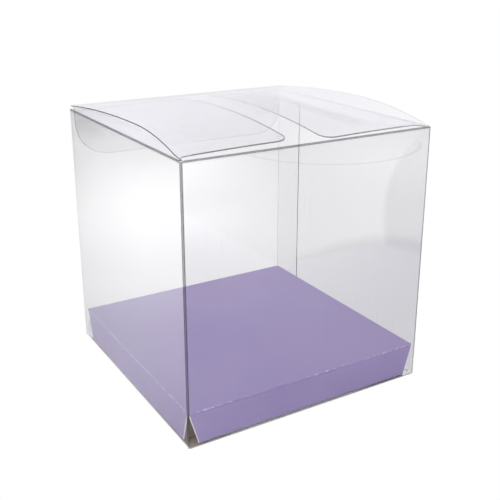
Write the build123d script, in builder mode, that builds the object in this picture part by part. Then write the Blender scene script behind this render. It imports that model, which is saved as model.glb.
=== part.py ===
from build123d import *
import os
from math import cos, radians, sin, tan

# A clear folding carton that stands as a cube, with a raised card floor inside it.
# X runs along the front panel, Y runs from the front panel to the back panel, Z is up.
# The origin is at the middle of the underside. All sizes are in millimetres.

# Carton
box_width = 100.0           # outside, along X
box_depth = 100.0           # outside, along Y
box_height = 100.0          # floor to the top of the fold beads
sheet = 0.3                 # thickness of the clear plastic sheet
corner_radius = 0.7         # outside radius of a fold that stays put
bead_radius = 0.35          # round bead that a hinged fold leaves in the sheet
fold_web = 0.8              # height of the strip between a bead and its panel
edge_drop = 0.3             # how far a cut edge stops short of the fold lines
fold_gap = 0.15             # room between a bead and the flap that turns on it
lay_gap = 0.1               # room between two sheets that lie on one another

# Glued seam at the back right corner
glue_width = 17.5
glue_film = 0.05            # thickness of the adhesive
glue_end_gap = 1.6          # how far the glue flap stops short of the fold lines
glue_bevel = 4.0            # slanted ends of the glue flap

# Lid
lid_left_crown_reach = 33.0     # from the hinge to the top of the bow, along the left edge
lid_left_crown_rise = 5.65      # height of that point over the hinge
lid_right_crown_reach = 42.0    # the same along the right edge
lid_right_crown_rise = 5.2
lid_back_lift = 1.5         # height of the back fold over the hinge
lid_back_gap = 0.2          # from the back fold to the inside of the back panel
lid_side_gap = 0.2          # from the lid's long edges to the outside of the box
lid_relief_width = 0.8      # slanted corner beside the hinge
lid_relief_length = 4.0
tuck_depth = 20.5
tuck_side_gap = 1.2         # from the tuck flap's ends to the outside of the box
tuck_corner_radius = 13.0
tuck_tilt = 9.0             # degrees that the tuck flap leans into the box

# Dust flaps
flap_reach = 43.0           # from the side panel's outside to the free edge
flap_setback = 5.5          # from the ends of the flap to the outside of the box
flap_corner_radius = 5.0
flap_root_step = 0.6        # straight end of the flap beside its fold
flap_end_gap = 1.5          # from the flap's root to the upright folds
left_flap_front_rise = 0.75     # height of the free edge over the fold: front end, middle, back end
left_flap_middle_rise = 4.3
left_flap_back_rise = 1.35
right_flap_front_rise = -0.55
right_flap_middle_rise = 3.7
right_flap_back_rise = 1.5

# Bottom closure
bottom_tuck_depth = 8.0
bottom_tuck_tilt = 3.5      # degrees that the bottom tuck flap leans into the box
bottom_tuck_corner_radius = 4.0

# Card floor
card = 0.45                 # thickness of the card
card_bead_radius = 0.3
deck_height = 13.0          # top of the card floor over the underside
insert_gap = 0.4            # from the card to the clear sheet beside it
skirt_foot_gap = 0.05       # from the skirts' lower edges to the flaps that they stand on
skirt_taper = 16.3          # degrees that a skirt's ends slant
skirt_long_inset = 0.3      # from the ends of the front and back skirts to the card's corners
skirt_short_inset = 1.5     # the same for the left and right skirts

# Places worked out from the sizes
sides = ("front", "right", "back", "left")
outward = {"front": (0, -1), "right": (1, 0), "back": (0, 1), "left": (-1, 0)}
reach = {
    "front": box_depth / 2,
    "right": box_width / 2,
    "back": box_depth / 2,
    "left": box_width / 2,
}
top_axis = box_height - bead_radius
bottom_axis = bead_radius
top_web = top_axis - fold_web
bottom_web = bottom_axis + fold_web
bottom_flap_low = sheet + lay_gap
bottom_flap_high = bottom_flap_low + sheet
seam_depth = sheet + glue_film
back_axis = box_depth / 2 - sheet - lid_back_gap - bead_radius
front_axis = -box_depth / 2 + bead_radius
flap_start = bead_radius + fold_gap

os.makedirs("parts", exist_ok=True)


def save(piece, name):
    """Label a finished piece and write it under its name."""
    piece.part.label = name
    export_step(piece.part, f"parts/{name}.step")


def before(side):
    """The side met when going along a panel backwards."""
    return sides[sides.index(side) - 1]


def after(side):
    """The side met when going along a panel forwards."""
    return sides[(sides.index(side) + 1) % len(sides)]


def wall_plane(side, distance):
    """A plane parallel to a panel: local x along the panel, local y up, normal outward."""
    nx, ny = outward[side]
    ux, uy = outward[after(side)]
    return Plane(origin=(nx * distance, ny * distance, 0), x_dir=(ux, uy, 0), z_dir=(nx, ny, 0))


def section_plane(side, end):
    """A plane across a panel at its far end: local x outward, local y up, normal back along the panel."""
    nx, ny = outward[side]
    ux, uy = outward[after(side)]
    return Plane(origin=(ux * end, uy * end, 0), x_dir=(nx, ny, 0), z_dir=(-ux, -uy, 0))


def floor_plane(side, height):
    """A level plane: local x along a panel, local y from the panel into the box."""
    ux, uy = outward[after(side)]
    return Plane(origin=(0, 0, height), x_dir=(ux, uy, 0), z_dir=(0, 0, 1))


def quarter_ring(center, x_side, y_side):
    """The section of a fold that stays put: a quarter of a ring, in the current sketch."""
    x_align = Align.MIN if x_side > 0 else Align.MAX
    y_align = Align.MIN if y_side > 0 else Align.MAX
    with Locations(center):
        Circle(corner_radius)
        Circle(corner_radius - sheet, mode=Mode.SUBTRACT)
        Rectangle(corner_radius, corner_radius, align=(x_align, y_align), mode=Mode.INTERSECT)


# Upright panels
# Each span is where the panel starts and ends along its side, from the middle of the box.
panel_span = {
    "front": (corner_radius - box_width / 2, box_width / 2 - corner_radius),
    "right": (corner_radius - box_depth / 2, box_depth / 2 - edge_drop),
    "back": (seam_depth + corner_radius - box_width / 2, box_width / 2 - corner_radius),
    "left": (corner_radius - box_depth / 2, box_depth / 2 - corner_radius),
}
flap_fold_center = bottom_flap_low + corner_radius
panel_low = {"front": bottom_web, "right": flap_fold_center, "back": edge_drop, "left": flap_fold_center}
panel_high = {"front": top_web, "right": top_web, "back": box_height - edge_drop, "left": top_web}

for side in sides:
    start, end = panel_span[side]
    low, high = panel_low[side], panel_high[side]
    with BuildPart() as panel:
        with BuildSketch(wall_plane(side, reach[side])):
            with Locations(((start + end) / 2, (low + high) / 2)):
                Rectangle(end - start, high - low)
        extrude(amount=-sheet)
    save(panel, f"{side}_panel")

# Upright folds between the panels
left_center = corner_radius - box_width / 2
right_center = box_width / 2 - corner_radius
front_center = corner_radius - box_depth / 2
back_center = box_depth / 2 - corner_radius
upright_folds = {
    "front_left_fold": (left_center, front_center),
    "front_right_fold": (right_center, front_center),
    "back_left_fold": (left_center, back_center),
    "seam_fold": (right_center - seam_depth, back_center),
}
for name, center in upright_folds.items():
    with BuildPart() as upright:
        with BuildSketch(Plane.XY.offset(edge_drop)):
            quarter_ring(center, center[0], center[1])
        extrude(amount=box_height - 2 * edge_drop)
    save(upright, name)

# Glue flap and its adhesive, on the inside of the right panel
glue_low = flap_fold_center + glue_end_gap
glue_high = top_web - glue_end_gap + fold_web
glue_root = back_center
glue_tip = box_depth / 2 - glue_width


def glue_outline():
    """The glue flap seen from the right, with slanted ends, in the current sketch."""
    with BuildLine() as outline:
        Polyline(
            (glue_root, glue_low),
            (glue_root, glue_high),
            (glue_tip, glue_high - glue_bevel),
            (glue_tip, glue_low + glue_bevel),
            close=True,
        )
    make_face(outline.edges())


with BuildPart() as seam_adhesive:
    with BuildSketch(wall_plane("right", box_width / 2 - sheet)):
        glue_outline()
    extrude(amount=-glue_film)
save(seam_adhesive, "seam_adhesive")

with BuildPart() as glue_flap:
    with BuildSketch(wall_plane("right", box_width / 2 - seam_depth)):
        glue_outline()
    extrude(amount=-sheet)
save(glue_flap, "glue_flap")


def hinged_fold(name, side, axis, web):
    """A bead that a flap turns on, with the strip that joins it to its panel."""
    far = after(side)
    half = reach[far] - corner_radius
    with BuildPart() as fold:
        with BuildSketch(section_plane(side, half)):
            with Locations((reach[side] - bead_radius, axis)):
                Circle(bead_radius)
            with Locations((reach[side] - sheet / 2, (axis + web) / 2)):
                Rectangle(sheet, abs(axis - web))
        extrude(amount=2 * half)
    save(fold, name)


hinged_fold("lid_fold", "front", top_axis, top_web)
hinged_fold("left_flap_fold", "left", top_axis, top_web)
hinged_fold("right_flap_fold", "right", top_axis, top_web)
hinged_fold("bottom_lid_fold", "front", bottom_axis, bottom_web)

# Lid: one sheet, bowed from the hinge over the crown to the back fold, and fuller along its left edge
lid_half = box_width / 2 - lid_side_gap
lid_front = front_axis + flap_start
lid_back = back_axis - bead_radius - fold_web
lid_hinge_point = (front_axis, top_axis)
lid_back_point = (back_axis, top_axis + lid_back_lift)
lid_crowns = {
    -lid_half: (front_axis + lid_left_crown_reach, top_axis + lid_left_crown_rise),
    lid_half: (front_axis + lid_right_crown_reach, top_axis + lid_right_crown_rise),
}


def lid_section(crown, start, end):
    """The bowed sheet cut off at two upright lines, in the current sketch."""
    with BuildLine() as bow:
        TangentArc(crown, lid_hinge_point, tangent=(-1, 0))
        TangentArc(crown, lid_back_point, tangent=(1, 0))
    trace(bow.edges(), line_width=sheet)
    with Locations(((start + end) / 2, top_axis)):
        Rectangle(end - start, box_height, mode=Mode.INTERSECT)


with BuildPart() as lid_panel:
    for edge, crown in lid_crowns.items():
        with BuildSketch(Plane.YZ.offset(edge)):
            lid_section(crown, lid_front, lid_back)
    loft(ruled=True)
    with BuildSketch(floor_plane("front", top_axis - bead_radius)):
        with BuildLine():
            Polyline(
                (lid_relief_width - lid_half, lid_front),
                (lid_half - lid_relief_width, lid_front),
                (lid_half, lid_front + lid_relief_length),
                (lid_half, lid_back),
                (-lid_half, lid_back),
                (-lid_half, lid_front + lid_relief_length),
                close=True,
            )
        make_face()
    extrude(amount=box_height, mode=Mode.INTERSECT)
save(lid_panel, "lid_panel")

with BuildPart() as lid_tuck_fold:
    for edge, crown in lid_crowns.items():
        with BuildSketch(Plane.YZ.offset(edge)):
            lid_section(crown, lid_back, back_axis)
    loft(ruled=True)
    with BuildSketch(Plane.YZ):
        with Locations(lid_back_point):
            Circle(bead_radius)
    extrude(amount=lid_half, both=True)
save(lid_tuck_fold, "lid_tuck_fold")


def tuck_flap(name, height, tilt, depth, corner, direction):
    """A tuck flap that hangs (-1) or stands (1) on its fold and leans into the box."""
    half = box_width / 2 - tuck_side_gap
    lean = radians(tilt)
    plane = Plane(
        origin=(0, back_axis, height),
        x_dir=(1, 0, 0),
        z_dir=(0, -cos(lean), -direction * sin(lean)),
    )
    with BuildPart() as flap:
        with BuildSketch(plane):
            with Locations((0, direction * (flap_start + depth) / 2)):
                Rectangle(2 * half, depth - flap_start)
            free_corners = vertices().sort_by(Axis.Y, reverse=direction > 0)[:2]
            fillet(free_corners, corner)
        extrude(amount=sheet / 2, both=True)
    save(flap, name)


tuck_flap("lid_tuck_flap", top_axis + lid_back_lift, tuck_tilt, tuck_depth, tuck_corner_radius, -1)


def flap_outline(side, root):
    """A dust flap seen from above, in the current sketch: flared at its fold, with round free corners."""
    root_half = box_depth / 2 - corner_radius - flap_end_gap
    edge_half = box_depth / 2 - flap_setback
    flare = root_half - edge_half
    root_line = -root
    free_line = flap_reach - reach[side]
    flare_line = root_line + flap_root_step
    with BuildLine() as outline:
        Line((-root_half, root_line), (root_half, root_line))
        Line((root_half, root_line), (root_half, flare_line))
        TangentArc((edge_half, flare_line + flare), (root_half, flare_line), tangent=(0, -1))
        Line((edge_half, flare_line + flare), (edge_half, free_line))
        Line((edge_half, free_line), (-edge_half, free_line))
        Line((-edge_half, free_line), (-edge_half, flare_line + flare))
        TangentArc((-edge_half, flare_line + flare), (-root_half, flare_line), tangent=(0, -1))
        Line((-root_half, flare_line), (-root_half, root_line))
    make_face(outline.edges())
    fillet(vertices().group_by(Axis.Y)[-1], flap_corner_radius)


# Dust flaps under the lid: straight at the fold, sprung up along the free edge
flap_rises = {
    "left": (left_flap_front_rise, left_flap_middle_rise, left_flap_back_rise),
    "right": (right_flap_front_rise, right_flap_middle_rise, right_flap_back_rise),
}
for side, (front_rise, middle_rise, back_rise) in flap_rises.items():
    root = reach[side] - bead_radius - flap_start
    root_half = box_depth / 2 - corner_radius
    edge_half = box_depth / 2 - flap_setback
    front_end = edge_half if after(side) == "front" else -edge_half
    with BuildPart() as dust_flap:
        with BuildSketch(wall_plane(side, root)):
            with Locations((0, top_axis)):
                Rectangle(2 * root_half, sheet)
        with BuildSketch(wall_plane(side, reach[side] - flap_reach)):
            with BuildLine():
                ThreePointArc(
                    (front_end, top_axis + front_rise),
                    (0, top_axis + middle_rise),
                    (-front_end, top_axis + back_rise),
                )
            trace(line_width=sheet)
        loft(ruled=True)
        with BuildSketch(floor_plane(side, top_axis - box_height / 2)):
            flap_outline(side, root)
        extrude(amount=box_height, mode=Mode.INTERSECT)
    save(dust_flap, f"{side}_dust_flap")

# Bottom lid with its tuck flap
bottom_back = back_axis - bead_radius - fold_web
bottom_half = box_width / 2 - seam_depth - corner_radius - lay_gap
with BuildPart() as bottom_lid:
    with BuildSketch(Plane.XY):
        with Locations((0, (lid_front + bottom_back) / 2)):
            Rectangle(2 * bottom_half, bottom_back - lid_front)
    extrude(amount=sheet)
save(bottom_lid, "bottom_lid_panel")

with BuildPart() as bottom_tuck_fold:
    with BuildSketch(Plane.YZ):
        with Locations((back_axis, bottom_axis)):
            Circle(bead_radius)
        with Locations(((bottom_back + back_axis) / 2, sheet / 2)):
            Rectangle(back_axis - bottom_back, sheet)
    extrude(amount=bottom_half, both=True)
save(bottom_tuck_fold, "bottom_tuck_fold")

tuck_flap(
    "bottom_tuck_flap", bottom_axis, bottom_tuck_tilt, bottom_tuck_depth, bottom_tuck_corner_radius, 1
)

# Bottom dust flaps, which stay folded because the card floor stands on them
for side in ("left", "right"):
    root = reach[side] - corner_radius
    half = box_depth / 2 - corner_radius
    with BuildPart() as bottom_fold:
        with BuildSketch(section_plane(side, half)):
            quarter_ring((root, flap_fold_center), 1, -1)
        extrude(amount=2 * half)
    save(bottom_fold, f"{side}_bottom_fold")

    with BuildPart() as bottom_flap:
        with BuildSketch(floor_plane(side, bottom_flap_low)):
            flap_outline(side, root)
        extrude(amount=sheet)
    save(bottom_flap, f"{side}_bottom_flap")

# Card floor: how far it reaches on each side, clear of what stands there
tuck_lean = bottom_tuck_depth * sin(radians(bottom_tuck_tilt)) + sheet
insert_reach = {
    "front": reach["front"] - sheet - insert_gap,
    "right": reach["right"] - seam_depth - sheet - insert_gap,
    "back": back_axis - tuck_lean - insert_gap,
    "left": reach["left"] - sheet - insert_gap,
}
card_axis = deck_height - card_bead_radius
deck_edge = {side: insert_reach[side] - 2 * card_bead_radius for side in sides}
deck_width = deck_edge["left"] + deck_edge["right"]
deck_depth = deck_edge["front"] + deck_edge["back"]
deck_center = (deck_edge["right"] - deck_width / 2, deck_edge["back"] - deck_depth / 2)

with BuildPart() as base_deck:
    with BuildSketch(Plane.XY.offset(deck_height - card)):
        with Locations(deck_center):
            Rectangle(deck_width, deck_depth)
    extrude(amount=card)
save(base_deck, "base_deck")

# Folds and skirts of the card floor
skirt_inset = {
    "front": skirt_long_inset,
    "right": skirt_short_inset,
    "back": skirt_long_inset,
    "left": skirt_short_inset,
}
for side in sides:
    start, end = -deck_edge[before(side)], deck_edge[after(side)]
    axis_reach = insert_reach[side] - card_bead_radius
    with BuildPart() as card_fold:
        with BuildSketch(section_plane(side, end)):
            with Locations((axis_reach, card_axis)):
                Circle(card_bead_radius)
            with Locations(((deck_edge[side] + axis_reach) / 2, deck_height - card / 2)):
                Rectangle(axis_reach - deck_edge[side], card)
        extrude(amount=end - start)
    save(card_fold, f"{side}_skirt_fold")

    high = card_axis - card_bead_radius - fold_gap
    low = bottom_flap_high + skirt_foot_gap
    slant = (high - low) * tan(radians(skirt_taper))
    first = skirt_inset[side] - insert_reach[before(side)]
    last = insert_reach[after(side)] - skirt_inset[side]
    with BuildPart() as skirt:
        with BuildSketch(wall_plane(side, axis_reach + card / 2)):
            with BuildLine():
                Polyline((first, high), (last, high), (last - slant, low), (first + slant, low), close=True)
            make_face()
        extrude(amount=-card)
    save(skirt, f"{side}_skirt")
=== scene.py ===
# %% [markdown]
# # A clear favor box with a lilac card floor
# The object is a folding carton cut from one clear plastic sheet, closed at the top by a bowed lid,
# with a shallow tray of lilac card standing inside it. Nearly everything that the eye reads as
# "box" is an edge, a crease or a reflection, so this lesson is mostly about finishes: how a clear
# sheet shows its cut edges, how a crease turns dark, and how a coated card differs from its raw back.
# The shapes come from the CAD frame and stay exactly where it puts them.

# %% Load the frame
import math

import bpy
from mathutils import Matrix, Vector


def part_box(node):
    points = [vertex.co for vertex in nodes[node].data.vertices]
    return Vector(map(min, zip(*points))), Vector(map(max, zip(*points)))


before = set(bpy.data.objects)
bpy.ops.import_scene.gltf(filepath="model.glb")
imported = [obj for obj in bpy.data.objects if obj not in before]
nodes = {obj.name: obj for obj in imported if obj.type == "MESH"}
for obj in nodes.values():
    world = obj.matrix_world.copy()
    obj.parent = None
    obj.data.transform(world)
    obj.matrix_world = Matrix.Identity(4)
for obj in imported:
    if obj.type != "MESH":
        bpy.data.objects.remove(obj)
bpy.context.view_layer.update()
MM = 0.001

# %% [markdown]
# ## A way to write shader maths
# A material in Blender is a graph of nodes, which is slow to read as code. Wrapping a socket in a
# small class with operators lets us write `1 - mask` or `a * b`, and each operation adds its Math
# node. Every other node comes from one method, `add`, which sets the node's settings first (they can
# change which sockets it has) and then its sockets, by value or by link.


# %% Signals
class Signal:
    """A socket of a finish. Arithmetic on it adds Math nodes."""

    def __init__(self, finish, socket):
        self.finish = finish
        self.socket = socket

    def math(self, operation, *values):
        return self.finish.add("ShaderNodeMath", {"operation": operation}, dict(enumerate(values)))

    def __add__(self, other):
        return self.math("ADD", self, other)

    def __radd__(self, other):
        return self.math("ADD", other, self)

    def __sub__(self, other):
        return self.math("SUBTRACT", self, other)

    def __rsub__(self, other):
        return self.math("SUBTRACT", other, self)

    def __mul__(self, other):
        return self.math("MULTIPLY", self, other)

    def __rmul__(self, other):
        return self.math("MULTIPLY", other, self)

    def __pow__(self, power):
        return self.math("POWER", self, power)

    def __neg__(self):
        return self.math("MULTIPLY", self, -1.0)

    def __abs__(self):
        return self.math("ABSOLUTE", self)

    def larger(self, other):
        return self.math("MAXIMUM", self, other)

    def smaller(self, other):
        return self.math("MINIMUM", self, other)

    def out(self, name):
        """Another output of the node that this socket belongs to."""
        return Signal(self.finish, self.socket.node.outputs[name])

    def rise(self, low, high):
        """0 up to low, 1 from high, and a smooth step between them."""
        sockets = {"Value": self, "From Min": low, "From Max": high}
        return self.finish.add("ShaderNodeMapRange", {"interpolation_type": "SMOOTHSTEP"}, sockets)


print("signals ready")


# %% Finishes
class Finish:
    """A node graph that ends in a material's or a world's surface."""

    def __init__(self, owner, output_type="ShaderNodeOutputMaterial"):
        owner.use_nodes = True
        self.tree = owner.node_tree
        self.tree.nodes.clear()
        self.output = self.tree.nodes.new(output_type)
        self.owner = owner

    def add(self, kind, settings=None, sockets=None, output=0):
        node = self.tree.nodes.new(kind)
        for name, value in (settings or {}).items():
            setattr(node, name, value)
        for name, value in (sockets or {}).items():
            if isinstance(value, Signal):
                self.tree.links.new(value.socket, node.inputs[name])
            else:
                node.inputs[name].default_value = value
        return Signal(self, node.outputs[output])

    def end(self, shader):
        self.tree.links.new(shader.socket, self.output.inputs["Surface"])
        return self.owner

    def blend(self, first, second, share):
        """A colour that goes from first to second as share goes from 0 to 1."""
        sockets = {0: share, 6: first, 7: second}
        return self.add("ShaderNodeMix", {"data_type": "RGBA"}, sockets, output=2)

    def over(self, under, cover, share):
        """One shader laid over another, as far as share says."""
        return self.add("ShaderNodeMixShader", None, {0: share, 1: under, 2: cover})

    def distance(self, where, place):
        sockets = {0: where, 1: place}
        return self.add("ShaderNodeVectorMath", {"operation": "DISTANCE"}, sockets, output="Value")

    def axes(self, where):
        """The X of a vector, with its Y and Z as the same node's other outputs."""
        return self.add("ShaderNodeSeparateXYZ", None, {0: where}, output="X")


def new_material(name):
    return Finish(bpy.data.materials.new(name))


def object_place(finish):
    return finish.add("ShaderNodeTexCoord", output="Object")


print("finishes ready")

# %% [markdown]
# ## Camera
# The box is seen from a little left of its front upright and from above the lid. The camera's place was
# found by fitting the cube's corners. The uprights should lean less than a tilted camera makes them
# lean, so a small vertical shift lets this camera tilt less.

# %% Camera
IMAGE_PIXELS = 500
SENSOR_WIDTH = 36.0
FOCAL_PIXELS = 785
CAMERA_PLACE = (-0.1486, -0.2544, 0.1573)
CAMERA_TURN = -30.98
CAMERA_PITCH = 18.5
CAMERA_SHIFT = -0.06

camera_data = bpy.data.cameras.new("photo_camera")
camera_data.sensor_width = SENSOR_WIDTH
camera_data.lens = FOCAL_PIXELS / IMAGE_PIXELS * SENSOR_WIDTH
camera_data.shift_y = CAMERA_SHIFT
camera = bpy.data.objects.new("photo_camera", camera_data)
camera.location = CAMERA_PLACE
camera.rotation_euler = (math.radians(90 - CAMERA_PITCH), 0, math.radians(CAMERA_TURN))
scene = bpy.context.scene
scene.collection.objects.link(camera)
scene.camera = camera
print("camera lens", round(camera_data.lens, 1), "mm")

# %% [markdown]
# ## Room
# The box stands in a studio that burns out to pure white, so it shows only where its sheets take light
# away or mirror something. What a clear sheet mirrors matters more than what lights it. Lamps would do,
# but soft glows in an even room are easier to place and leave no hard spots on the plastic. One glow
# overhead is for the lid to mirror. One in front and one on the left light the tray's skirts; mirrors
# don't see these two, or the lid would burn out when it is looked at from behind or from the right.
# Light crosses many sheets on its way, so the limits on see-through and mirrored steps are raised.

# %% Room
WHITE = (1.0, 1.0, 1.0, 1.0)
ROOM_COLOUR = (0.95, 0.95, 1.0)
ROOM_LEVEL = 1.03
ROOM_GLOWS = [
    ((0.0, 0.3, 1.0), 1.3, 0.25),
]
SKIRT_GLOWS = [
    ((0.0, -1.0, 0.15), 0.9, 0.85),
    ((-1.0, 0.0, 0.15), 0.9, 1.3),
]
SEE_THROUGH_STEPS = 40
MIRROR_STEPS = 12


def soft_spots(finish, where, level, spots):
    """A level that rises smoothly towards each spot: its place, reach and strength."""
    for place, reach, strength in spots:
        level = (1 - finish.distance(where, place).rise(0.0, reach)) * strength + level
    return level


world = bpy.data.worlds.new("studio")
scene.world = world
studio = Finish(world, "ShaderNodeOutputWorld")
direction = studio.add("ShaderNodeTexCoord", output="Generated")
rays = studio.add("ShaderNodeLightPath", output="Is Camera Ray")
glow = soft_spots(studio, direction, 0.0, SKIRT_GLOWS) * (1 - rays.out("Is Glossy Ray"))
glow = soft_spots(studio, direction, glow + ROOM_LEVEL, ROOM_GLOWS)
tinted = studio.add("ShaderNodeVectorMath", {"operation": "SCALE"}, {0: ROOM_COLOUR, "Scale": glow})
room = studio.add("ShaderNodeBackground", None, {"Color": tinted})
backdrop = studio.add("ShaderNodeBackground", None, {"Color": WHITE})
studio.end(studio.over(room, backdrop, rays))
scene.view_settings.view_transform = "Standard"
scene.cycles.transparent_max_bounces = SEE_THROUGH_STEPS
scene.cycles.glossy_bounces = MIRROR_STEPS
print("room with", len(ROOM_GLOWS) + len(SKIRT_GLOWS), "soft glows")

# %% [markdown]
# ## Table
# The table is a plain white plane. The upright sheets mirror the table around the box, not the room, and
# a table under studio light is brighter in some places than in others. A painted light map would need
# an image, so the pools of light are soft spots again: three in front of the box, which the front panel
# mirrors, a row that goes back on the left in even steps, which the left panel mirrors, and three for
# the views from the other sides. Only mirrors see them.

# %% Table
TABLE_HALF = 3.0
TABLE_DROP = 0.2 * MM
TABLE_DIM = 0.03
FRONT_POOLS = [
    ((0.08, -0.25, 0.0), 0.16, 1.15),
    ((0.06, -0.42, 0.0), 0.20, 3.5),
    ((0.05, -0.26, 0.0), 0.075, 1.1),
]
OTHER_POOLS = [
    ((-0.20, -0.22, 0.0), 0.24, 0.5),
    ((0.30, 0.10, 0.0), 0.28, 0.5),
    ((0.15, 0.32, 0.0), 0.28, 0.5),
]
LEFT_START = (-0.06, -0.02, 0.0)
LEFT_STEP = (-0.04, 0.08, 0.0)
LEFT_REACH = 0.10
LEFT_WIDENING = 0.017
LEFT_STRENGTHS = [0.4, 0.7, 1.0, 1.3, 0.6, 0.2, 0.5]
FAR_TABLE = (0.5, 1.0)
FAR_LEVEL = 0.8

table_pools = FRONT_POOLS + OTHER_POOLS
for index, strength in enumerate(LEFT_STRENGTHS):
    place = tuple(start + index * step for start, step in zip(LEFT_START, LEFT_STEP))
    table_pools.append((place, LEFT_REACH + index * LEFT_WIDENING, strength))

table_mesh = bpy.data.meshes.new("white_table")
table_corners = [(-1, -1), (1, -1), (1, 1), (-1, 1)]
table_points = [(x * TABLE_HALF, y * TABLE_HALF, -TABLE_DROP) for x, y in table_corners]
table_mesh.from_pydata(table_points, [], [(0, 1, 2, 3)])
table = bpy.data.objects.new("white_table", table_mesh)
scene.collection.objects.link(table)

top = new_material("white_table")
where = object_place(top)
far = top.distance(where, (0.0, 0.0, 0.0)).rise(*FAR_TABLE)
mirrored = soft_spots(top, where, TABLE_DIM, table_pools) + FAR_LEVEL * far
pools = top.add("ShaderNodeEmission", None, {"Color": mirrored})
matt = top.add("ShaderNodeBsdfDiffuse", None, {"Color": WHITE})
print("table with", len(table_pools), "pools of light")

# %% [markdown]
# ## Shade seen through the box
# Past the box the table is pure white, but through its sheets we still see the table's shade on the far
# right: a shaded patch behind the tray, a long narrow shadow that runs on from it and widens, and the
# fine curved shadow of the lid's bowed edge. Real shadows of clear sheets take many samples to come
# out clean, so the three are drawn from a few sizes, along the diagonal that runs away from the camera
# and across it. The Light Path node counts the sheets that were crossed, and with none there's no shade.

# %% Near shade and long shadow
NEAR_SHARE = 0.74
NEAR_SIDES = (-110 * MM, 110 * MM)
NEAR_REACH = 225 * MM
NEAR_CROWN = 72 * MM
NEAR_BEND = 14
NEAR_SOFTNESS = 20 * MM
LONG_SHARE = 0.52
LONG_BORDER = 55.5 * MM
LONG_WAIST = 395 * MM
LONG_FLARE = 0.35
LONG_SOFTNESS = 4 * MM
LONG_OVERLAP = 15 * MM
LONG_FADE = (200 * MM, 400 * MM)
LONG_FADED = 0.8

x_way = top.axes(where)
y_way = x_way.out("Y")
away = x_way + y_way
sideways = x_way - y_way
past_near = away - NEAR_REACH + NEAR_BEND * (sideways - NEAR_CROWN) ** 2
near_shade = sideways.rise(*NEAR_SIDES) * (1 - past_near.rise(-NEAR_SOFTNESS, NEAR_SOFTNESS))

inside_border = sideways - LONG_BORDER - LONG_FLARE * (away - LONG_WAIST) ** 2
long_shadow = inside_border.rise(-LONG_SOFTNESS, LONG_SOFTNESS)
long_shadow = long_shadow * (past_near + LONG_OVERLAP).rise(-NEAR_SOFTNESS, NEAR_SOFTNESS)
long_shadow = long_shadow * (1 - LONG_FADED * x_way.rise(*LONG_FADE))
print("shade reaches", round(NEAR_REACH / MM), "mm along the diagonal, and a shadow runs on from it")

# %% Shadow of the lid's edge
RIM_SHARE = 0.35
RIM_MIDDLE = (267 * MM, 309 * MM, 0.0)
RIM_RADIUS = 86 * MM
RIM_WIDTH = (1 * MM, 3 * MM)
RIM_START = (290 * MM, 309 * MM)
RIM_END = (325 * MM, 350 * MM)

off_rim = abs(top.distance(where, RIM_MIDDLE) - RIM_RADIUS)
rim = (1 - off_rim.rise(*RIM_WIDTH)) * (1 - x_way.rise(*RIM_END)) * (1 - y_way.rise(*RIM_START))
print("curved shadow of radius", round(RIM_RADIUS / MM), "mm")

# %% Shade on the table
SHADE_TINT = (0.76, 0.757, 0.777, 1.0)
ONE_SHEET = (0.5, 1.0)

rays = top.add("ShaderNodeLightPath", output="Is Camera Ray")
through_box = rays.out("Transparent Depth").rise(*ONE_SHEET)
shade = NEAR_SHARE * near_shade + LONG_SHARE * long_shadow + RIM_SHARE * rim
unshaded = top.add("ShaderNodeBsdfTransparent", None, {"Color": WHITE})
shaded = top.add("ShaderNodeBsdfTransparent", None, {"Color": SHADE_TINT})
burnt_out = top.over(unshaded, shaded, shade * through_box)
print("shade shows only through the sheets")

# %% [markdown]
# ## Under the tray
# In the notch between two skirts we look under the tray, at table that is lit by what the raw board
# above it throws back. Rendered light hardly finds its way in there. A glowing patch on the table would
# stay behind when the tray is lifted, so a weak lamp lies in the foot of the box instead, unseen by
# camera and mirrors. It shines up at the raw board, which sends a little brown light down. The table is
# painted darker in the corners of the box, where the least light gets to.

# %% Under the tray
TRAY_MIDDLE = -1.6 * MM
TRAY_HALF = 47.5 * MM
TRAY_SOFTNESS = 0.3 * MM
TRAY_CORNERS = (68 * MM, 84 * MM)
CORNER_COLOUR = (0.54, 0.475, 0.40, 1.0)
LAMP_SIDE = 90 * MM
LAMP_HEIGHT = 1.0 * MM
LAMP_WATTS = 0.021
LAMP_COLOUR = (1.0, 0.9, 0.8)

lamp_data = bpy.data.lights.new("foot_lamp", "AREA")
lamp_data.size = LAMP_SIDE
lamp_data.energy = LAMP_WATTS
lamp_data.color = LAMP_COLOUR
lamp = bpy.data.objects.new("foot_lamp", lamp_data)
lamp.location = (TRAY_MIDDLE, TRAY_MIDDLE, LAMP_HEIGHT)
lamp.rotation_euler = (math.pi, 0, 0)
lamp.visible_camera = False
lamp.visible_glossy = False
lamp.visible_transmission = False
scene.collection.objects.link(lamp)

x_off = abs(x_way - TRAY_MIDDLE)
y_off = abs(y_way - TRAY_MIDDLE)
beside_tray = x_off.larger(y_off).rise(TRAY_HALF - TRAY_SOFTNESS, TRAY_HALF + TRAY_SOFTNESS)
in_corner = (x_off + y_off).rise(*TRAY_CORNERS) * (1 - beside_tray)
corner = top.add("ShaderNodeBsdfDiffuse", None, {"Color": CORNER_COLOUR})
from_below = top.add("ShaderNodeNewGeometry", output="Backfacing")
lit = top.over(top.over(matt, corner, in_corner), pools, rays.out("Is Glossy Ray"))
table_mesh.materials.append(top.end(top.over(lit, burnt_out, rays * beside_tray.larger(from_below))))
print("stage", table.name, "and lamp of", LAMP_WATTS, "watts")

# %% [markdown]
# ## Clear sheet
# Clear plastic could be made as glass, with light bent at both faces. A sheet this thin doesn't shift
# what is behind it, and bent light would leave the card inside in the dark, so the sheet is a
# Transparent shader with a mirror laid over it. The mirror grows towards grazing angles, by Schlick's
# rule on the Layer Weight node, which works alike on both faces. A slow ripple in the mirror's normal
# keeps reflections from looking ruled.

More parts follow.
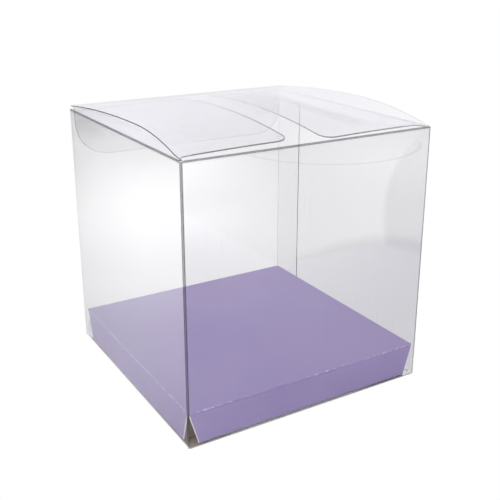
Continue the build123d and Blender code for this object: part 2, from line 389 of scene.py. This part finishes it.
# %% Clear sheet
SHEET_TINT = (0.968, 0.967, 0.972, 1.0)
MIRROR_HEAD_ON = 0.042
MIRROR_BLUR = 0.03
SCHLICK_POWER = 5
EVEN_BLEND = 0.5
RIPPLES_PER_METRE = 22
RIPPLE_HEIGHT = 0.25 * MM
MARK_ROUGHNESS = 0.3
HAZE_AND_LIGHT_ROUGHNESS = 0.5


def noise(finish, where, scale, detail=2.0):
    return finish.add("ShaderNodeTexNoise", None, {"Vector": where, "Scale": scale, "Detail": detail})


def mirror_share(finish, head_on, grazing):
    facing = finish.add("ShaderNodeLayerWeight", None, {"Blend": EVEN_BLEND}, output="Facing")
    return head_on + (grazing - head_on) * facing ** SCHLICK_POWER


def clear_body(finish, tint=SHEET_TINT, head_on=MIRROR_HEAD_ON, grazing=1.0):
    """What light does in the open sheet: it goes through tinted, or is mirrored."""
    ripple = noise(finish, object_place(finish), RIPPLES_PER_METRE, 1.0)
    normal = finish.add("ShaderNodeBump", None, {"Height": ripple, "Distance": RIPPLE_HEIGHT})
    through = finish.add("ShaderNodeBsdfTransparent", None, {"Color": tint})
    sockets = {"Color": WHITE, "Roughness": MIRROR_BLUR, "Normal": normal}
    mirror = finish.add("ShaderNodeBsdfGlossy", None, sockets)
    return finish.over(through, mirror, mirror_share(finish, head_on, grazing))


def solid(finish, colour, roughness=MARK_ROUGHNESS):
    """What covers the clear sheet in places, in one colour: dust, a haze of bubbles, painted dark lines
    and shade, and painted light.
    """
    return finish.add("ShaderNodeBsdfPrincipled", None, {"Base Color": colour, "Roughness": roughness})


print("clear sheet mirrors", MIRROR_HEAD_ON, "of the light head on at each face")

# %% [markdown]
# ## Handling marks
# A box that has been packed and unfolded has faint hairlines and a few specks of dust that cling to the
# plastic. The hairlines are the level lines of a stretched noise, kept only in worn patches. The specks
# are the middles of Voronoi cells, in the few cells whose random colour passes a bar.

# %% Handling marks
HAIRLINE_SHARE = 0.05
HAIRLINES_PER_METRE = 700
HAIRLINE_STRETCH = (1.0, 1.0, 0.04)
HAIRLINE_LEVEL = 0.5
HAIRLINE_WIDTH = 0.012
WORN_PATCHES_PER_METRE = 25
WORN_BAR = (0.5, 0.7)
SPECK_SHARE = 0.45
SPECK_RADIUS = 0.017
SPECK_CORE = 0.6 * SPECK_RADIUS
SPECK_CELLS_PER_METRE = 75
SPECK_BAR = (0.72, 0.74)


def handling_marks(finish):
    """How far hairlines and dust cover the sheet."""
    where = object_place(finish)
    worn = noise(finish, where, WORN_PATCHES_PER_METRE).rise(*WORN_BAR)
    sockets = {0: where, 1: HAIRLINE_STRETCH}
    stretched = finish.add("ShaderNodeVectorMath", {"operation": "MULTIPLY"}, sockets)
    strokes = noise(finish, stretched, HAIRLINES_PER_METRE)
    hairline = 1 - abs(strokes - HAIRLINE_LEVEL).rise(0.0, HAIRLINE_WIDTH)
    sockets = {"Vector": where, "Scale": SPECK_CELLS_PER_METRE}
    dust = finish.add("ShaderNodeTexVoronoi", None, sockets, output="Distance")
    pick = finish.add("ShaderNodeSeparateColor", None, {0: dust.out("Color")})
    speck = (1 - dust.rise(SPECK_CORE, SPECK_RADIUS)) * pick.rise(*SPECK_BAR)
    return (hairline * worn * HAIRLINE_SHARE).larger(speck * SPECK_SHARE)


print("specks in about a quarter of", SPECK_CELLS_PER_METRE, "cells a metre")

# %% [markdown]
# ## Cut edges
# A cut edge of clear sheet looks dark when we look straight into it, because light inside the sheet
# runs past it, and is hardly seen from its other side. The object's own normal tells us which faces
# are cut edges: each sheet lists the directions in which its edges are free. Where a sheet goes on
# into a crease, the face between the two isn't an edge on the real box, so it stays clear.

# %% Cut edges
# The dark grey of cut edges, burrs and the tuck flap's veil is painted shade.
PAINTED_SHADE_GREY = (0.012, 0.012, 0.015, 1.0)
MARK_GREY = (0.5, 0.5, 0.52, 1.0)
EDGE_FROM_BEHIND = 0.25
EDGE_FACING = (0.3, 0.6)
DIRECTIONS = {
    "front": (0, -1, 0),
    "right": (1, 0, 0),
    "back": (0, 1, 0),
    "left": (-1, 0, 0),
    "top": (0, 0, 1),
    "bottom": (0, 0, -1),
}


def toward(finish, direction):
    """How far a face's own normal points in a direction, from -1 to 1."""
    own = finish.add("ShaderNodeTexCoord", output="Normal")
    length = math.sqrt(sum(value * value for value in direction))
    sockets = {0: own, 1: tuple(value / length for value in direction)}
    return finish.add("ShaderNodeVectorMath", {"operation": "DOT_PRODUCT"}, sockets, output="Value")


def seen_from_outside(finish, share_behind):
    """1 on a face seen from outside the sheet, and a small share where it is seen from within."""
    behind = finish.add("ShaderNodeNewGeometry", output="Backfacing")
    return 1 - (1 - share_behind) * behind


def cut_edges(finish, edges):
    """1 on the faces of free edges, and little where they are seen from behind."""
    cut = toward(finish, DIRECTIONS[edges[0]]).rise(*EDGE_FACING)
    for edge in edges[1:]:
        cut = cut + toward(finish, DIRECTIONS[edge]).rise(*EDGE_FACING)
    return cut * seen_from_outside(finish, EDGE_FROM_BEHIND)


def end_sheet(finish, body, edge=None):
    """The open sheet with its marks, and its dark edges if it has any, laid over it."""
    sheet = finish.over(body, solid(finish, MARK_GREY), handling_marks(finish))
    if edge is not None:
        sheet = finish.over(sheet, solid(finish, PAINTED_SHADE_GREY), edge)
    return finish.end(sheet)


def dress(name, material):
    """Give a CAD node a finish without touching its mesh."""
    for slot in nodes[name].material_slots:
        slot.link = "OBJECT"
        slot.material = material
    print(name, "wears", material.name)


print("edges in", len(DIRECTIONS), "directions")

# %% [markdown]
# ## Walls and bottom
# The four walls meet in creases, so of all their outlines only two are cuts that show: the right wall's
# back edge, under which the glue flap goes, and the back wall's foot. The bottom pieces lie under the
# card tray. Their edges are free all round, but little light gets to them, so they are drawn fainter.

# %% Walls and bottom
UNCUT_WALLS = ["front_panel", "left_panel"]
WALL_EDGES = {"right_panel": ["back"], "back_panel": ["bottom"]}
BOTTOM_EDGES = {
    "bottom_lid_panel": ["left", "right"],
    "bottom_tuck_flap": ["left", "top", "right"],
    "left_bottom_flap": ["front", "right", "back"],
    "right_bottom_flap": ["front", "left", "back"],
}
BOTTOM_EDGE_SHARE = 0.5

for name in UNCUT_WALLS:
    sheet = new_material(f"clear_{name}")
    dress(name, end_sheet(sheet, clear_body(sheet)))

for name, edges in WALL_EDGES.items():
    sheet = new_material(f"clear_{name}")
    dress(name, end_sheet(sheet, clear_body(sheet), cut_edges(sheet, edges)))

for name, edges in BOTTOM_EDGES.items():
    sheet = new_material(f"clear_{name}")
    dress(name, end_sheet(sheet, clear_body(sheet), BOTTOM_EDGE_SHARE * cut_edges(sheet, edges)))

# %% [markdown]
# ## Outlines of the flaps
# The lid's left edge and the outlines of the flaps are the crispest lines on the box: the knife leaves
# a fine burr along them, which bends light away, so it shows as a dark line. The edge faces alone are
# too thin to show it, and a wire along each edge would be one more piece to carry along. So the burr's
# dark line is painted on the sheet's own faces as shade, from the distance to a rectangle with two round
# corners, and it fades out towards the flap's root.

# %% Outlines of the flaps
BURR_WIDTH = 0.2 * MM
BURR_SHARE = 0.9
SIDE_BURR = 0.35 * MM
ROOT_FADE = 3.0 * MM


def burr(inset, share=BURR_SHARE):
    """A thin painted line of shade beside an outline, from the distance inside it."""
    # Painted shade: the burr's dark line.
    return share * (1 - inset.rise(BURR_WIDTH * 0.5, BURR_WIDTH))


def flap_inset(along, across, root, free_end, half_width, corner, side_burr=SIDE_BURR):
    """Distance inside a flap's outline, from the way along it, out of its root, and across it."""
    past_end = along - (free_end - corner)
    past_side = abs(across) - (half_width - corner)
    round_part = (past_end.larger(0.0) ** 2 + past_side.larger(0.0) ** 2) ** 0.5
    straight_part = past_end.larger(past_side).smaller(0.0)
    near_root = 1 - along.rise(root + ROOT_FADE, root + 2 * ROOT_FADE)
    on_side = (past_side - past_end).rise(-corner / 2, corner / 2)
    return corner - round_part - straight_part + near_root - side_burr * on_side


print("burr of", round(BURR_WIDTH / MM, 2), "mm")

# %% [markdown]
# ## Dust flaps
# The two dust flaps fold in from the left and the right wall and lie under the lid. Beside the crease a
# thin white haze is laid over each flap: painted light that brightens it, strongest at the root and gone
# before the flap's middle. Under the lid the flaps see little of the room, so their mirror is held back
# at grazing angles.

# %% Dust flaps
FLAP_HALF_WIDTH = 44.5 * MM
FLAP_CORNER = 5.0 * MM
FLAP_GRAZING = 0.35
ROOT_LIGHT_WHITE = (0.95, 0.95, 0.96, 1.0)
ROOT_LIGHT_SHARE = 0.3
ROOT_LIGHT_REACH = 22 * MM


def painted_root_light(finish, along, root):
    """The open sheet of a flap, with painted white light beside its crease."""
    # Painted light: a white haze that brightens the flap beside its crease.
    share = ROOT_LIGHT_SHARE * (1 - along.rise(root, root + ROOT_LIGHT_REACH))
    root_light = solid(finish, ROOT_LIGHT_WHITE, HAZE_AND_LIGHT_ROUGHNESS)
    return finish.over(clear_body(finish, grazing=FLAP_GRAZING), root_light, share)


for side, inward in (("left", 1), ("right", -1)):
    name = f"{side}_dust_flap"
    low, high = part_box(name)
    root, free_end = sorted((inward * low[0], inward * high[0]))
    sheet = new_material(f"clear_{name}")
    place = sheet.axes(object_place(sheet))
    along = place if inward > 0 else -place
    inset = flap_inset(along, place.out("Y"), root, free_end, FLAP_HALF_WIDTH, FLAP_CORNER)
    free_side = "right" if inward > 0 else "left"
    edge = cut_edges(sheet, ["front", "back", free_side]).larger(burr(inset))
    dress(name, end_sheet(sheet, painted_root_light(sheet, along, root), edge))

# %% [markdown]
# ## Tuck flap and lid
# The lid is bowed and ends in a tuck flap that slips in behind the back wall's top edge. We see the
# flap's back, so its burr is faint. Its upper corners are pressed against the side walls and bow, which
# bends light away, so painted shade lies over them as a thin dark veil. The lid itself has a burr along
# its left edge.

# %% Tuck flap
TUCK_CORNER = 13.0 * MM
TUCK_BURR_SHARE = 0.25
BOWED_SHADE_SHARE = 0.12
BOWED_SIDES = (15 * MM, 42 * MM)
BOWED_DEPTH = (5 * MM, 16 * MM)

low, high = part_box("lid_tuck_flap")
sheet = new_material("clear_lid_tuck_flap")
place = sheet.axes(object_place(sheet))
height = place.out("Z")
half_width = (high[0] - low[0]) / 2
inset = flap_inset(-height, place, -high[2], -low[2], half_width, TUCK_CORNER, 0.0)
edge = cut_edges(sheet, ["left", "bottom", "right"]).larger(burr(inset, TUCK_BURR_SHARE))
# Painted shade: a thin dark veil over the bowed upper corners.
bowed_shade = BOWED_SHADE_SHARE * abs(place).rise(*BOWED_SIDES) * (1 - (high[2] - height).rise(*BOWED_DEPTH))
tuck = sheet.over(clear_body(sheet), solid(sheet, PAINTED_SHADE_GREY), bowed_shade)
dress("lid_tuck_flap", end_sheet(sheet, tuck, edge))

# %% Lid
low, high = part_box("lid_panel")
sheet = new_material("clear_lid_panel")
place = sheet.axes(object_place(sheet))
edge = cut_edges(sheet, ["left", "right"]).larger(burr(place - low[0]))
dress("lid_panel", end_sheet(sheet, clear_body(sheet), edge))

# %% [markdown]
# ## Glued seam
# The glue flap lies against the right panel with a film of clear adhesive between them. Where two sheets
# are bonded there is no air gap to mirror anything, so both the flap and the film are clearer than the
# open sheet. The film keeps some small bubbles, which scatter a little light.

# %% Glued seam
BONDED_TINT = (0.995, 0.995, 0.996, 1.0)
BONDED_MIRROR = 0.004
BONDED_GRAZING = 0.25
BUBBLES_PER_METRE = 500
BUBBLE_PATCHES_PER_METRE = 90
BUBBLE_EDGE = (0.1, 0.35)
BUBBLE_BAR = (0.5, 0.75)
BUBBLE_SHARE = 0.07
BUBBLE_WHITE = (0.9, 0.9, 0.9, 1.0)

sheet = new_material("clear_glue_flap")
edge = cut_edges(sheet, ["front", "top", "bottom"])
body = clear_body(sheet, BONDED_TINT, BONDED_MIRROR, BONDED_GRAZING)
dress("glue_flap", end_sheet(sheet, body, edge))

film = new_material("clear_seam_adhesive")
where = object_place(film)
sockets = {"Vector": where, "Scale": BUBBLES_PER_METRE}
cells = film.add("ShaderNodeTexVoronoi", None, sockets, output="Distance")
patches = noise(film, where, BUBBLE_PATCHES_PER_METRE).rise(*BUBBLE_BAR)
bubbles = (1 - cells.rise(*BUBBLE_EDGE)) * patches
clear_film = clear_body(film, BONDED_TINT, BONDED_MIRROR, BONDED_GRAZING)
hazy_film = film.over(clear_film, solid(film, BUBBLE_WHITE, HAZE_AND_LIGHT_ROUGHNESS), BUBBLE_SHARE * bubbles)
dress("seam_adhesive", film.end(hazy_film))

# %% [markdown]
# ## Creases
# Where the sheet is creased it bends light away, so a crease reads as a dark line from outside and
# hardly shows from inside. Bent glass would show that by itself, but the sheets here don't bend light,
# so the line is drawn, wherever the crease's normal points outward. On the upright corners the line has
# a paler core at the crest, and it pales at the foot, where the card behind it throws light back.

# %% Upright creases
CREASE_GREY = (0.02, 0.02, 0.024, 1.0)
CREASE_FROM_BEHIND = 0.1
CREASE_FACING = (0.1, 0.3)
CORE_FACING = (0.9, 0.99)
UPRIGHT_SHARE = 0.75
UPRIGHT_CORE = 0.3
FOOT_SHARE = 0.4
FOOT_HEIGHT = (5 * MM, 14 * MM)
UPRIGHT_FOLDS = {
    "front_left_fold": (-1, -1, 0),
    "front_right_fold": (1, -1, 0),
    "back_left_fold": (-1, 1, 0),
    "seam_fold": (1, 1, 0),
}


def end_crease(finish, crest, share):
    """The open sheet with a dark share laid over the outside of its bend."""
    outside = toward(finish, crest).rise(*CREASE_FACING)
    share = share * outside * seen_from_outside(finish, CREASE_FROM_BEHIND)
    return finish.end(finish.over(clear_body(finish), solid(finish, CREASE_GREY), share))


for name, crest in UPRIGHT_FOLDS.items():
    crease = new_material(f"crease_{name}")
    core = toward(crease, crest).rise(*CORE_FACING)
    height = crease.axes(object_place(crease)).out("Z")
    above_foot = FOOT_SHARE + (1 - FOOT_SHARE) * height.rise(*FOOT_HEIGHT)
    dress(name, end_crease(crease, crest, (UPRIGHT_SHARE - UPRIGHT_CORE * core) * above_foot))

# %% [markdown]
# ## Hinged creases
# The creases that the lid and the flaps turn on are lines too, but finer: the line covers the rounded
# bead at the top or the foot of the wall and fades out along it. How dark each one is depends on how
# sharply it is bent, so each has its own strength next to the direction of its crest.

# %% Hinged creases
BEAD_FADE = (0.5 * MM, 0.9 * MM)
HINGED_FOLDS = {
    "lid_fold": ((0, -1, 1), 0.62),
    "left_flap_fold": ((-1, 0, 1), 0.7),
    "right_flap_fold": ((1, 0, 1), 0.62),
    "lid_tuck_fold": ((0, 1, -0.4), 0.6),
    "bottom_lid_fold": ((0, -1, -1), 0.4),
    "bottom_tuck_fold": ((0, 1, -1), 0.4),
    "left_bottom_fold": ((-1, 0, -1), 0.3),
    "right_bottom_fold": ((1, 0, -1), 0.4),
}

for name, (crest, strength) in HINGED_FOLDS.items():
    crease = new_material(f"crease_{name}")
    low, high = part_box(name)
    bead_end = low[2] if "bottom" in name else high[2]
    height = crease.axes(object_place(crease)).out("Z")
    faded = abs(height - bead_end).rise(*BEAD_FADE)
    dress(name, end_crease(crease, crest, strength * (1 - faded)))

# %% [markdown]
# ## Lilac card
# The tray is folded from board with a satin lilac coat on its outside, a grey-brown raw back and a pale
# core that shows along cut edges. The coat isn't even: the ink lies in slow clouds, and the fibres under
# it show as a fine grain. Scanned paper would be an image, so layers of noise stand in for it, at the
# scales of clouds, fibres and grain. One helper makes the coat, one the raw back, and one the satin.

# %% Lilac card
LILAC = (0.338, 0.277, 0.489, 1.0)
LILAC_PALE = (0.361, 0.297, 0.506, 1.0)
LILAC_WARM = (0.378, 0.283, 0.478, 1.0)
RAW_BOARD = (0.34, 0.30, 0.265, 1.0)
RAW_FLECK = (0.22, 0.19, 0.165, 1.0)
CLOUDS_PER_METRE = 45
FIBRES_PER_METRE = 900
GRAIN_PER_METRE = 3000
CLOUD_BAR = (0.35, 0.65)
WARM_BAR = (0.5, 0.7)
WARM_SHARE = 0.5
FIBRE_BAR = (0.45, 0.7)
RAW_FLECK_BAR = (0.5, 0.65)
GRAIN_HEIGHT = 0.02 * MM
SATIN = 0.40
SATIN_CHANGE = 0.12
BLACK = (0.0, 0.0, 0.0, 1.0)
PAINTED_GLOW_STRENGTH = 0.28


def coat_colour(finish):
    """Printed lilac: slow clouds of ink, warmer in places, with paler fibres."""
    where = object_place(finish)
    clouds = noise(finish, where, CLOUDS_PER_METRE, 3.0).rise(*CLOUD_BAR)
    warmth = noise(finish, where, CLOUDS_PER_METRE / 2).rise(*WARM_BAR)
    fibres = noise(finish, where, FIBRES_PER_METRE, 4.0).rise(*FIBRE_BAR)
    colour = finish.blend(LILAC, LILAC_PALE, clouds)
    colour = finish.blend(colour, LILAC_WARM, WARM_SHARE * warmth)
    return finish.blend(colour, LILAC_PALE, fibres)


def raw_colour(finish):
    """Raw board: grey-brown with darker flecks."""
    flecks = noise(finish, object_place(finish), FIBRES_PER_METRE, 3.0).rise(*RAW_FLECK_BAR)
    return finish.blend(RAW_BOARD, RAW_FLECK, flecks)


def end_card(finish, colour, painted_glow=None):
    """Satin card of a colour with the grain of its fibres. Hidden faces get a little painted light: they
    glow in their own colour.
    """
    where = object_place(finish)
    grain = noise(finish, where, GRAIN_PER_METRE, 3.0)
    normal = finish.add("ShaderNodeBump", None, {"Height": grain, "Distance": GRAIN_HEIGHT})
    roughness = SATIN + SATIN_CHANGE * noise(finish, where, FIBRES_PER_METRE)
    sockets = {"Base Color": colour, "Roughness": roughness, "Normal": normal}
    # Painted light: hidden faces glow in the card's own colour.
    if painted_glow is not None:
        sockets["Emission Color"] = finish.blend(BLACK, colour, painted_glow)
        sockets["Emission Strength"] = PAINTED_GLOW_STRENGTH
    return finish.end(finish.add("ShaderNodeBsdfPrincipled", None, sockets))


print("card in", CLOUDS_PER_METRE, "clouds and", FIBRES_PER_METRE, "fibres a metre")

# %% [markdown]
# ## Deck and skirts
# The deck is the tray's floor, and four skirts fold down from it. The knife frays the coat to a pale rim
# at the skirts' slanted ends, so the distance to those ends is worked out and roughened with the fibres.
# Masks from the object's own normal put coat, raw back and cut board on the right faces of one finish.
# A skirt's fold turns on a narrow gap, and the faces in it glow a little in their own colour, painted
# light, so it reads as bent card.

# %% Deck and skirts
CUT_BOARD = (0.82, 0.78, 0.80, 1.0)
CARD_FACING = (0.4, 0.7)
SKIRT_TAPER = 16.3
FRAY_WIDTH = 0.4 * MM
FRAY_ROUGHNESS = 0.3 * FRAY_WIDTH

deck = new_material("card_base_deck")
underside = toward(deck, DIRECTIONS["bottom"]).rise(*CARD_FACING)
dress("base_deck", end_card(deck, deck.blend(coat_colour(deck), raw_colour(deck), underside)))

for face in ("front", "right", "back", "left"):
    name = f"{face}_skirt"
    low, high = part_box(name)
    skirt = new_material(f"card_{name}")
    place = skirt.axes(object_place(skirt))
    side = 0 if face in ("front", "back") else 1
    along = place.out("XY"[side])
    narrowing = (high[2] - place.out("Z")) * math.tan(math.radians(SKIRT_TAPER))
    inset = (high[side] - low[side]) / 2 - narrowing - abs(along - (high[side] + low[side]) / 2)
    ragged = inset + FRAY_ROUGHNESS * noise(skirt, object_place(skirt), FIBRES_PER_METRE)
    frayed = 1 - ragged.rise(0.5 * FRAY_WIDTH, FRAY_WIDTH)
    outside = toward(skirt, DIRECTIONS[face])
    folded = toward(skirt, DIRECTIONS["top"])
    coated = outside.larger(folded).rise(*CARD_FACING) * (1 - frayed)
    colour = skirt.blend(CUT_BOARD, coat_colour(skirt), coated)
    colour = skirt.blend(colour, raw_colour(skirt), (-outside).rise(*CARD_FACING))
    # The upward faces in the fold's gap glow a little: painted light.
    dress(name, end_card(skirt, colour, folded.rise(*CARD_FACING)))

# %% [markdown]
# ## Folds of the card
# Folding breaks the stiff coat, so the pale core shows as a broken white line along the crest of each
# fold. Two noises break it up: a fine one makes the flecks, and a slow one keeps them to stretches of
# the fold. The left fold was bent hardest, so its line runs on almost unbroken.

# %% Folds of the card
FLECK_WHITE = (0.90, 0.88, 0.95, 1.0)
FLECKS_PER_METRE = 900
STRETCHES_PER_METRE = 40
FLECK_STEP = 0.12
STRETCH_STEPS = (-0.15, 0.05)
CREST_FACING = (0.8, 0.95)
GAP_FACING = (0.1, 0.5)
FOLD_WEAR = {
    "front": (0.53, 0.95),
    "right": (0.55, 0.8),
    "back": (0.55, 0.8),
    "left": (0.43, 0.55),
}

for face, (sound, share) in FOLD_WEAR.items():
    name = f"{face}_skirt_fold"
    fold = new_material(f"card_{name}")
    where = object_place(fold)
    outward = DIRECTIONS[face]
    crest = toward(fold, (outward[0], outward[1], 1)).rise(*CREST_FACING)
    flecks = noise(fold, where, FLECKS_PER_METRE, 4.0).rise(sound, sound + FLECK_STEP)
    bar = [sound + step for step in STRETCH_STEPS]
    stretches = noise(fold, where, STRETCHES_PER_METRE).rise(*bar)
    colour = fold.blend(coat_colour(fold), FLECK_WHITE, share * crest * flecks * stretches)
    # The downward faces in the fold's gap glow a little: painted light.
    underneath_glow = toward(fold, DIRECTIONS["bottom"]).rise(*GAP_FACING)
    dress(name, end_card(fold, colour, underneath_glow))
